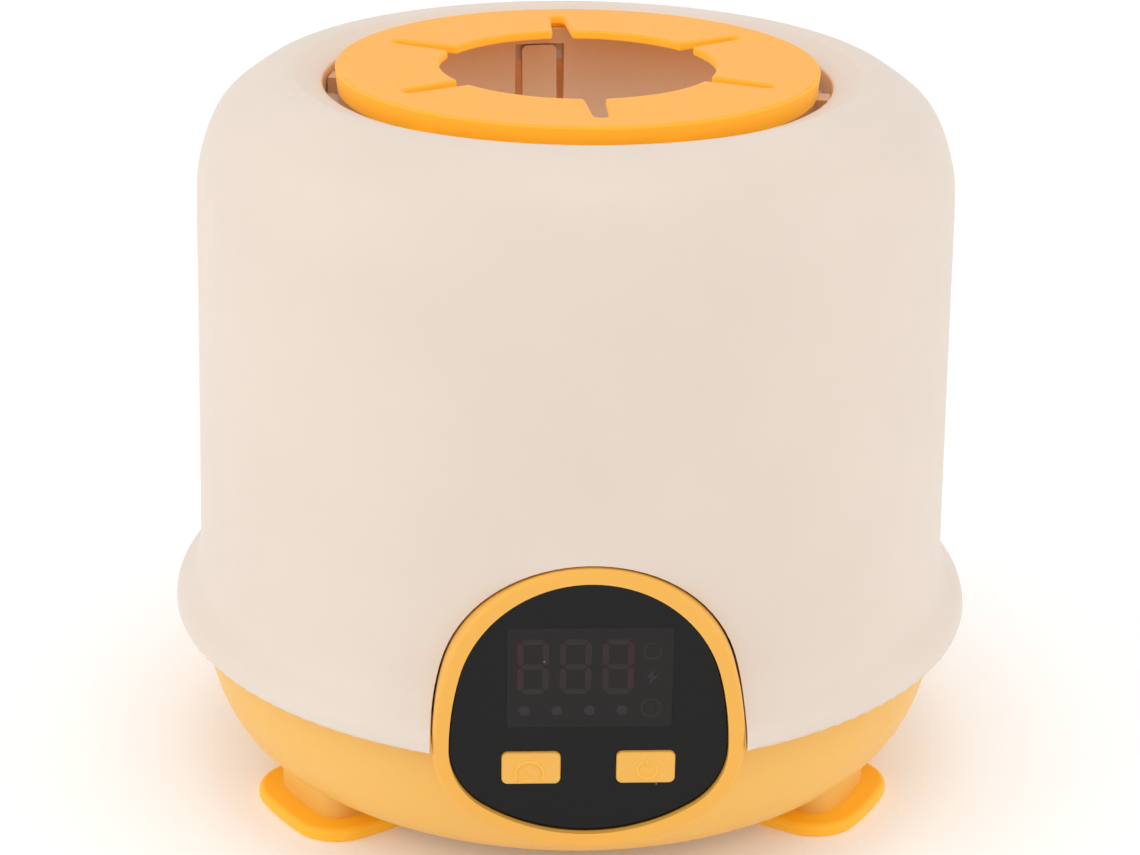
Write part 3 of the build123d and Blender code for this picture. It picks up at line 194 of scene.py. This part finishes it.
def mix(tree, factor, first, second, blend="MIX"):
    """Two colours mixed by a factor; each may be a colour or a socket."""
    node = tree.nodes.new("ShaderNodeMix")
    node.data_type = "RGBA"
    node.blend_type = blend
    for socket, value in ((node.inputs[0], factor), (node.inputs[6], first), (node.inputs[7], second)):
        if isinstance(value, bpy.types.NodeSocket):
            tree.links.new(value, socket)
        else:
            socket.default_value = value
    return node.outputs[2]


def bump(tree, shader, height, strength, distance, below=None):
    """A bump of a height, on top of another normal."""
    node = tree.nodes.new("ShaderNodeBump")
    node.inputs["Strength"].default_value = strength
    node.inputs["Distance"].default_value = distance
    tree.links.new(height, node.inputs["Height"])
    if below is not None:
        tree.links.new(below, node.inputs["Normal"])
    tree.links.new(node.outputs["Normal"], shader.inputs["Normal"])
    return node.outputs["Normal"]


def edge_mask(tree, radius):
    """1 on sharp edges, 0 on flat ground, from how far a rounded normal leaves the true one."""
    bevel = tree.nodes.new("ShaderNodeBevel")
    bevel.inputs["Radius"].default_value = radius
    geometry = tree.nodes.new("ShaderNodeNewGeometry")
    dot = tree.nodes.new("ShaderNodeVectorMath")
    dot.operation = "DOT_PRODUCT"
    tree.links.new(bevel.outputs["Normal"], dot.inputs[0])
    tree.links.new(geometry.outputs["Normal"], dot.inputs[1])
    return ramp(tree, dot.outputs["Value"], 1.0, 0.0, 0.80, 0.995)


def specks(tree, vector, scale, size):
    """1 in rare small round marks."""
    node = tree.nodes.new("ShaderNodeTexVoronoi")
    node.inputs["Scale"].default_value = scale
    tree.links.new(vector, node.inputs["Vector"])
    return ramp(tree, node.outputs["Distance"], 1.0, 0.0, size * 0.6, size)


def tones(tree, where, base):
    """A colour with slight clouding."""
    cloud = ramp(tree, noise(tree, where, 28, 4), 0.0, 1.0, 0.35, 0.65)
    return mix(tree, cloud, tint(base, 0.972), base)


def tint(colour, share, add=0.0):
    """A colour scaled and lifted, kept in range."""
    return tuple(min(1.0, c * share + add) for c in colour[:3]) + (1.0,)


def scaled(tree, socket, share):
    """A factor times a constant."""
    node = tree.nodes.new("ShaderNodeMath")
    node.operation = "MULTIPLY"
    node.inputs[1].default_value = share
    tree.links.new(socket, node.inputs[0])
    return node.outputs[0]


def height_ramp(tree, where, low, high):
    """0 below one height and 1 above another, in the object's own Z."""
    parts = tree.nodes.new("ShaderNodeSeparateXYZ")
    tree.links.new(where, parts.inputs[0])
    return ramp(tree, parts.outputs["Z"], 0.0, 1.0, low, high)


SPECK_STRENGTH = 0.25
EDGE_HIGHLIGHT_STRENGTH = 0.10
GRAIN_STRENGTH = 0.22


def side_mask(tree, level):
    """1 on upright faces and those that look down, and a given share on those that look up; the mask of the
    painted glow.
    """
    geometry = tree.nodes.new("ShaderNodeNewGeometry")
    parts = tree.nodes.new("ShaderNodeSeparateXYZ")
    tree.links.new(geometry.outputs["Normal"], parts.inputs[0])
    return ramp(tree, parts.outputs["Z"], 1.0, level, 0.35, 0.9)


def moulded(name, colour, roughness=0.5, scatter=None, sheen=0.0, top=None, glow=None):
    """Moulded plastic or silicone: spark-eroded grain, slight clouding, a few specks, edges painted paler as
    a highlight.

    scatter is (weight, colour, scale). top is (colour, low, high), a second colour that takes over with
    height; the liner uses it for painted orange shade. glow is (linear colour, share), a painted glow
    standing in for light through the faces that do not look up and, by the share, through those that do."""
    material, tree, shader, where = new_material(name)
    base = srgb(*colour)
    tone = tones(tree, where, base)
    # A second colour that takes over with height; in the liner it is painted orange shade.
    if top:
        tone = mix(tree, height_ramp(tree, where, top[1], top[2]), tone, srgb(*top[0]))
    marks = specks(tree, where, 46, 0.016)
    tone = mix(tree, scaled(tree, marks, SPECK_STRENGTH), tone, tint(base, 0.62))
    # Painted highlight: edges paler than the flat faces.
    rim = edge_mask(tree, 0.5 * MM)
    tone = mix(tree, scaled(tree, rim, EDGE_HIGHLIGHT_STRENGTH), tone, tint(base, 1.12, 0.03))
    tree.links.new(tone, shader.inputs["Base Color"])
    rough = ramp(tree, noise(tree, where, 240, 3), roughness - 0.05, roughness + 0.06, 0.3, 0.7)
    tree.links.new(rough, shader.inputs["Roughness"])
    fine = noise(tree, where, 2600, 2)
    normal = bump(tree, shader, fine, GRAIN_STRENGTH, 0.05 * MM)
    wide = noise(tree, where, 60, 2)
    bump(tree, shader, wide, 0.05, 0.25 * MM, normal)
    if scatter:
        shader.inputs["Subsurface Weight"].default_value = scatter[0]
        shader.inputs["Subsurface Radius"].default_value = scatter[1]
        shader.inputs["Subsurface Scale"].default_value = scatter[2]
    # Painted glow: emission standing in for light through the silicone, full on faces that do not look up and
    # by the share on those that do.
    if glow:
        shader.inputs["Emission Color"].default_value = (*glow[0], 1.0)
        shader.inputs["Emission Strength"].default_value = 1.0
        if glow[1] < 1.0:
            tree.links.new(side_mask(tree, glow[1]), shader.inputs["Emission Strength"])
    if sheen:
        shader.inputs["Sheen Weight"].default_value = sheen
        shader.inputs["Sheen Roughness"].default_value = 0.45
    return material


def metal(name, colour, roughness=0.3, brushed=False):
    """Metal with drawing lines or a plated grain."""
    material, tree, shader, where = new_material(name)
    base = srgb(*colour)
    stretch = tree.nodes.new("ShaderNodeMapping")
    stretch.inputs["Scale"].default_value = (1, 1, 40 if brushed else 1)
    tree.links.new(where, stretch.inputs["Vector"])
    lines = noise(tree, stretch.outputs["Vector"], 120, 4)
    tone = mix(tree, ramp(tree, lines, 0, 1, 0.35, 0.65), tint(base, 0.9), base)
    tree.links.new(tone, shader.inputs["Base Color"])
    shader.inputs["Metallic"].default_value = 1.0
    tree.links.new(ramp(tree, lines, roughness - 0.06, roughness + 0.1, 0.3, 0.7), shader.inputs["Roughness"])
    bump(tree, shader, lines, 0.15, 0.02 * MM)
    return material


def fabric(name, colour):
    """Needled felt."""
    material, tree, shader, where = new_material(name)
    base = srgb(*colour)
    fibres = noise(tree, where, 900, 6, 0.8)
    tone = mix(tree, ramp(tree, fibres, 0, 1, 0.35, 0.65), tint(base, 0.8), base)
    tree.links.new(tone, shader.inputs["Base Color"])
    shader.inputs["Roughness"].default_value = 0.95
    bump(tree, shader, fibres, 0.6, 0.4 * MM)
    return material


def gloss(name, colour, roughness=0.06, specular=0.5):
    """Polished plastic with faint smears and dust."""
    material, tree, shader, where = new_material(name)
    base = srgb(*colour)
    dust = specks(tree, where, 150, 0.035)
    tone = mix(tree, dust, base, srgb(105, 105, 105))
    tree.links.new(tone, shader.inputs["Base Color"])
    smear = noise(tree, where, 70, 3)
    tree.links.new(ramp(tree, smear, roughness, roughness + 0.06, 0.35, 0.65), shader.inputs["Roughness"])
    shader.inputs["Specular IOR Level"].default_value = specular
    bump(tree, shader, noise(tree, where, 25, 2), 0.02, 0.2 * MM)
    return material


ORANGE_SCATTER = (1.0, 0.45, 0.12)
CREAM_SCATTER = (1.0, 0.75, 0.55)
CREAM_SOFT = (0.15, CREAM_SCATTER, 0.5 * MM)
ORANGE_SOFT = (0.15, ORANGE_SCATTER, 0.5 * MM)
SILICONE_SOFT = (0.25, ORANGE_SCATTER, 2.0 * MM)
# Painted orange shade: a darker, more orange colour high in the liner, for the ring's shadow and the orange
# light it casts there.
LINER_TOP_PAINTED_ORANGE_SHADE = ((214, 168, 124), 0.112, 0.136)
RING_PAINTED_GLOW = ((0.24, 0.115, 0.0), 0.0)        # painted glow: emission standing in for light that comes through the silicone
# Painted glow over the whole pads, lifting them where the bowl shades them.
PAD_PAINTED_GLOW = ((0.11, 0.065, 0.0), 1.0)


def make_materials():
    """Every material slot of the record, by name."""
    return {
        "cream_plastic": moulded("cream_plastic", (226, 211, 197), 0.48, scatter=CREAM_SOFT),
        "liner_plastic": moulded("liner_plastic", (240, 220, 200), 0.42, scatter=CREAM_SOFT, top=LINER_TOP_PAINTED_ORANGE_SHADE),
        "orange_plastic": moulded("orange_plastic", (242, 187, 89), 0.42, scatter=ORANGE_SOFT),
        "button_plastic": moulded("button_plastic", (241, 181, 78), 0.45, scatter=ORANGE_SOFT),
        "ring_silicone": moulded("ring_silicone", (255, 172, 38), 0.58, scatter=SILICONE_SOFT, sheen=0.12,
                                 glow=RING_PAINTED_GLOW),
        "pad_silicone": moulded("pad_silicone", (255, 184, 42), 0.6, scatter=SILICONE_SOFT, glow=PAD_PAINTED_GLOW),
        "bezel_plastic": moulded("bezel_plastic", (242, 179, 72), 0.42, scatter=ORANGE_SOFT),
        # Paler and brighter than the button: a painted highlight on the raised symbol lines.
        "button_symbol": moulded("button_symbol", (255, 190, 64), 0.35, scatter=ORANGE_SOFT),
        "lens_black": gloss("lens_black", (6, 6, 6), 0.05, 0.25),
        "display_black": moulded("display_black", (20, 20, 20), 0.5),
        "display_bars": moulded("display_bars", (60, 56, 56), 0.4),
        "grey_rubber": moulded("grey_rubber", (150, 150, 152), 0.7),
        "cup_aluminium": metal("cup_aluminium", (205, 205, 208), 0.32, True),
        "heater_foil": moulded("heater_foil", (188, 112, 36), 0.3),
        "felt": fabric("felt", (226, 222, 214)),
        "inner_plastic": moulded("inner_plastic", (40, 40, 42), 0.5),
        "switch_pin": moulded("switch_pin", (222, 222, 216), 0.4),
        "sensor_metal": metal("sensor_metal", (170, 170, 172), 0.35),
        "board_green": gloss("board_green", (20, 88, 46), 0.3),
        "component_black": moulded("component_black", (30, 30, 32), 0.4),
        "cell_wrap": gloss("cell_wrap", (36, 92, 160), 0.18),
        "port_metal": metal("port_metal", (190, 190, 194), 0.28),
        "ribbon_white": moulded("ribbon_white", (232, 232, 226), 0.4),
        "screw_steel": metal("screw_steel", (178, 178, 182), 0.3),
        "window": gloss("window", (26, 23, 22), 0.06, 0.25),
        "ghost_bar": gloss("ghost_bar", (40, 36, 35), 0.07, 0.25),
        "ghost_warm": gloss("ghost_warm", (46, 35, 33), 0.07, 0.25),
        "ghost_dot": gloss("ghost_dot", (43, 41, 42), 0.07, 0.25),
    }


FINISHES = {"panel_bezel": "bezel_plastic"}      # nodes whose finish differs a little from their slot's


def dress_nodes(materials):
    """Give each CAD node the material of its slot."""
    for row in frame["record"]["subparts"]:
        node = NODES[row["node"]]
        node.data.materials.clear()
        node.data.materials.append(materials[FINISHES.get(row["node"], row["material_slot"])])


# ---- marks on the panel -------------------------------------------------------------------------------

PANEL_MIDDLE = centre("display_module")
INLAY = 0.012 * MM              # a mark's thickness
DIGIT_WIDTH, DIGIT_HEIGHT, DIGIT_PITCH = 5.5 * MM, 10.6 * MM, 7.4 * MM
DIGIT_LEFT, DIGIT_RISE = -9.9 * MM, 2.2 * MM
BAR_WIDTH = 1.1 * MM
DOT_LEFT, DOT_PITCH, DOT_DROP, DOT_RADIUS = -11.4 * MM, 5.7 * MM, 6.3 * MM, 0.95 * MM
ICON_X = 10.8 * MM
ICON_LINE = 0.28 * MM
CLOCK_RISE, CLOCK_RADIUS = 5.1 * MM, 1.5 * MM
WARMTH_DROP, WARMTH_RADIUS = 5.9 * MM, 1.7 * MM
WARM_SHARE = 0.55               # upright bars that look warmer
SYMBOL_WIDTH, SYMBOL_HEIGHT = 0.42 * MM, 0.17 * MM
SCALE_WIDTH, SCALE_HEIGHT = 0.22 * MM, 0.11 * MM
DIAL_RADIUS, DIAL_BASE_DROP = 2.5 * MM, 1.2 * MM
DIAL_LEFT, DIAL_DROP, DIAL_BASE_HALF = 0.28 * MM, 1.1 * MM, 2.15 * MM
TICK_RADII = (1.72, 1.9, 2.08)  # in mm
POWER_RADIUS = 1.75 * MM
POWER_RIGHT, POWER_DROP = 0.28 * MM, 0.35 * MM


def add_mesh(name, vertices, faces, material, body):
    """A smooth mesh piece with a material and a body that it rides."""
    mesh = bpy.data.meshes.new(name)
    mesh.from_pydata(vertices, [], faces)
    work = bmesh.new()
    work.from_mesh(mesh)
    bmesh.ops.recalc_face_normals(work, faces=work.faces)
    work.to_mesh(mesh)
    work.free()
    mesh.polygons.foreach_set("use_smooth", [True] * len(mesh.polygons))
    mesh.materials.append(material)
    piece = bpy.data.objects.new(name, mesh)
    bpy.context.scene.collection.objects.link(piece)
    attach(piece, body)
    return piece


def inlays(name, outlines, front, material):
    """Thin flat marks on a face that looks along -Y; each outline is a closed list of (x, z)."""
    vertices, faces = [], []
    for outline in outlines:
        first = len(vertices)
        count = len(outline)
        middle = (sum(x for x, z in outline) / count, sum(z for x, z in outline) / count)
        for depth, share in ((0.0, 1.0), (-0.6, 0.995), (-1.0, 0.98)):
            for x, z in outline:
                place = (middle[0] + (x - middle[0]) * share, middle[1] + (z - middle[1]) * share)
                vertices.append((place[0], front + depth * INLAY, place[1]))
        for row in range(2):
            for index in range(count):
                after = (index + 1) % count
                low, high = first + row * count, first + (row + 1) * count
                faces.append((low + index, low + after, high + after, high + index))
        faces.append(tuple(first + 2 * count + index for index in range(count)))
        faces.append(tuple(first + index for index in reversed(range(count))))
    return add_mesh(name, vertices, faces, material, "root")


def circle(x, z, radius, start=0.0, end=360.0, steps=40):
    """Points of an arc in the panel's plane, the last one left off on a full turn."""
    full = end - start >= 360.0
    points = []
    for step in range(steps if full else steps + 1):
        turn = math.radians(start + (end - start) * step / steps)
        points.append((x + radius * math.cos(turn), z + radius * math.sin(turn)))
    return points


def rounded(x, z, width, height, corner):
    """A rounded rectangle in the panel's plane."""
    points = []
    for side_x, side_z, start in ((1, 1, 0), (-1, 1, 90), (-1, -1, 180), (1, -1, 270)):
        middle = (x + side_x * (width / 2 - corner), z + side_z * (height / 2 - corner))
        points += circle(*middle, corner, start, start + 90, 8)
    return points


def bar(x, z, length, upright):
    """A display bar, pointed at both ends."""
    half, tip = length / 2, BAR_WIDTH / 2
    inner = half - tip
    points = [(-half, 0), (-inner, tip), (inner, tip), (half, 0), (inner, -tip), (-inner, -tip)]
    if upright:
        return [(x + b, z + a) for a, b in points]
    return [(x + a, z + b) for a, b in points]


def ridge(name, paths, front, width, height, material, body):
    """Raised half-round lines on a face that looks along -Y; each path is a list of (x, z)."""
    vertices, faces = [], []
    side = [(0.5, 0.3), (0.38, -0.45), (0.2, -0.9)]
    section = [(-across, rise) for across, rise in side] + [(0.0, -1.0)] + side[::-1]
    for path in paths:
        first = len(vertices)
        last = len(path) - 1
        for index, (x, z) in enumerate(path):
            before, after = path[max(0, index - 1)], path[min(last, index + 1)]
            along = Vector((after[0] - before[0], after[1] - before[1])).normalized()
            share = 0.55 if index in (0, last) else 1.0
            for across, rise in section:
                offset = across * width * share
                vertices.append((x - along.y * offset, front + rise * height * share, z + along.x * offset))
        count = len(section)
        for index in range(last):
            for step in range(count - 1):
                low, high = first + index * count + step, first + (index + 1) * count + step
                faces.append((low, low + 1, high + 1, high))
        faces.append(tuple(first + step for step in range(count)))
        faces.append(tuple(first + last * count + step for step in reversed(range(count))))
    return add_mesh(name, vertices, faces, material, body)


def display_marks(materials):
    """The display as it shows through the lens: a tinted window, unlit bars, dots and three small symbols."""
    x, z = PANEL_MIDDLE.x, PANEL_MIDDLE.z
    size = DISPLAY_HIGH - DISPLAY_LOW
    front = LENS_FRONT_Y - INLAY
    window = rounded(x, z, size.x, size.z, 0.6 * MM)
    inlays("display_window", [window], LENS_FRONT_Y, materials["window"])
    across, half = DIGIT_WIDTH - BAR_WIDTH, (DIGIT_HEIGHT - BAR_WIDTH) / 2
    gap = 0.25 * MM
    cold, warm = [], []
    for digit in range(3):
        middle = x + DIGIT_LEFT + digit * DIGIT_PITCH
        for row in (-1, 0, 1):
            cold.append(bar(middle, z + DIGIT_RISE + row * half, across - gap, False))
        for column in (-1, 1):
            for row in (-1, 1):
                place = (middle + column * across / 2, z + DIGIT_RISE + row * half / 2)
                group = warm if random.random() < WARM_SHARE else cold
                group.append(bar(*place, half - gap, True))
    inlays("display_bars_cold", cold, front, materials["ghost_bar"])
    inlays("display_bars_warm", warm, front, materials["ghost_warm"])
    dots = [circle(x + DOT_LEFT + index * DOT_PITCH, z - DOT_DROP, DOT_RADIUS) for index in range(4)]
    inlays("display_dots", dots, front, materials["ghost_dot"])
    icon_x = x + ICON_X
    bolt = [(0.5, 1.5), (-1.1, -0.2), (-0.1, -0.2), (-0.5, -1.5), (1.1, 0.3), (0.1, 0.3)]
    bolt = [(icon_x + a * MM, z + (b + 0.1) * MM) for a, b in bolt]
    inlays("display_bolt", [bolt], front, materials["ghost_dot"])
    clock_z, warmth_z = z + CLOCK_RISE, z - WARMTH_DROP
    hands = [(icon_x, clock_z + 0.9 * MM), (icon_x, clock_z), (icon_x + 0.8 * MM, clock_z)]
    rim = circle(icon_x, warmth_z, WARMTH_RADIUS) + [(icon_x + WARMTH_RADIUS, warmth_z)]
    stroke = [(icon_x, warmth_z + 0.7 * MM), (icon_x, warmth_z - 0.6 * MM)]
    lines = [circle(icon_x, clock_z, CLOCK_RADIUS, 60, 380), hands, rim, stroke]
    ridge("display_symbols", lines, front, ICON_LINE, INLAY, materials["ghost_bar"], "root")


def button_marks(materials):
    """The raised symbols of the two buttons: a dial with its scale, and a power sign."""
    finish, slot = materials["button_symbol"], "button_plastic"
    low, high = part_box("heat_button_cap")
    x, z, front = (low.x + high.x) / 2 - DIAL_LEFT, (low.z + high.z) / 2 - DIAL_DROP, low.y
    dial = circle(x, z, DIAL_RADIUS, -28, 208, 48)
    base_z = z - DIAL_BASE_DROP
    base = [(x - DIAL_BASE_HALF, base_z), (x, base_z), (x + DIAL_BASE_HALF, base_z)]
    ridge("heat_symbol_dial", [dial, base], front, SYMBOL_WIDTH, SYMBOL_HEIGHT, finish, "heat_button")
    ticks = []
    for index in range(11):
        turn = math.radians(-10 + 20 * index)
        ticks.append([(x + r * MM * math.cos(turn), z + r * MM * math.sin(turn)) for r in TICK_RADII])
    needle = [(x, z - 0.1 * MM), (x - 0.35 * MM, z + 0.2 * MM), (x - 0.8 * MM, z + 0.6 * MM)]
    scale = [*ticks, needle]
    ridge("heat_symbol_scale", scale, front, SCALE_WIDTH, SCALE_HEIGHT, finish, "heat_button")
    low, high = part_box("power_button_cap")
    x, z, front = (low.x + high.x) / 2 + POWER_RIGHT, (low.z + high.z) / 2 - POWER_DROP, low.y
    ring = circle(x, z, POWER_RADIUS, 118, 422, 56)
    stem = [(x, z + 2.0 * MM), (x, z + 1.3 * MM), (x, z + 0.5 * MM)]
    ridge("power_symbol", [ring, stem], front, SYMBOL_WIDTH, SYMBOL_HEIGHT, finish, "power_button")


make_camera()
make_stage()
MATERIALS = make_materials()
dress_nodes(MATERIALS)
random.seed(7)
display_marks(MATERIALS)
button_marks(MATERIALS)
make_lights()

bpy.context.scene.view_settings.view_transform = "Standard"
